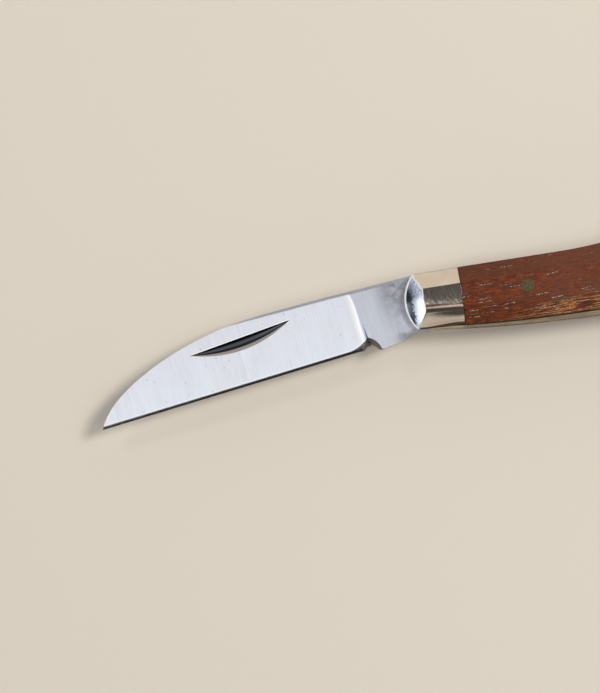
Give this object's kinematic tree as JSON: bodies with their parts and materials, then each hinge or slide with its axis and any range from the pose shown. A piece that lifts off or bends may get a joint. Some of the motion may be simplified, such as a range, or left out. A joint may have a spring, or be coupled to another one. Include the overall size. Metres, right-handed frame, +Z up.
{
  "type": "pocket knife",
  "caption": "Slip-joint folding pocket knife with a straight cutting edge, a nail nick, scooped metal bolsters, wooden scales and brass liners.",
  "frame": {"origin": "where the pivot axis meets the flat of the pile side, which the knife lies on", "axes": "+X from the pivot along the handle to the butt, so the open blade points to -X; +Y towards the back of the knife; +Z up, out of the mark side, along the pivot axis"},
  "size_m": [0.154, 0.0327, 0.0108],
  "materials": {
    "blade_steel": "finely ground carbon steel, brighter on the ground faces than on the tang",
    "spring_steel": "ground spring steel",
    "nickel_silver": "buffed nickel silver with fine scratches",
    "liner_brass": "ground brass, dulled",
    "pin_brass": "tarnished brass, filed flush",
    "wood": "oiled open-pored hardwood, satin"
  },
  "bodies": {
    "handle": {"mark_liner": "liner_brass", "pile_liner": "liner_brass", "mark_bolster": "nickel_silver", "pile_bolster": "nickel_silver", "mark_scale": "wood", "pile_scale": "wood", "pivot_pin": "nickel_silver", "middle_pin": "pin_brass", "butt_pin": "pin_brass", "mark_scale_rivet": "pin_brass", "pile_scale_rivet": "pin_brass", "mark_bolster_rivets": "nickel_silver", "pile_bolster_rivets": "nickel_silver"},
    "blade": {"blade": "blade_steel"},
    "spring_arm": {"back_spring": "spring_steel"}
  },
  "joints": [
    {"name": "blade_pivot", "type": "hinge", "parent": "handle", "child": "blade", "pos_m": [0, 0, 0.0054], "axis": [0, 0, 1], "range_deg": [0, 166.9], "deforming": ["back_spring"]},
    {"name": "spring_flex", "type": "hinge", "parent": "handle", "child": "spring_arm", "pos_m": [0.04, 0.0085, 0.0054], "axis": [0, 0, -1], "range_deg": [0, 0.5], "stiffness_Nm_per_rad": 88, "deforming": ["back_spring"]}
  ]
}
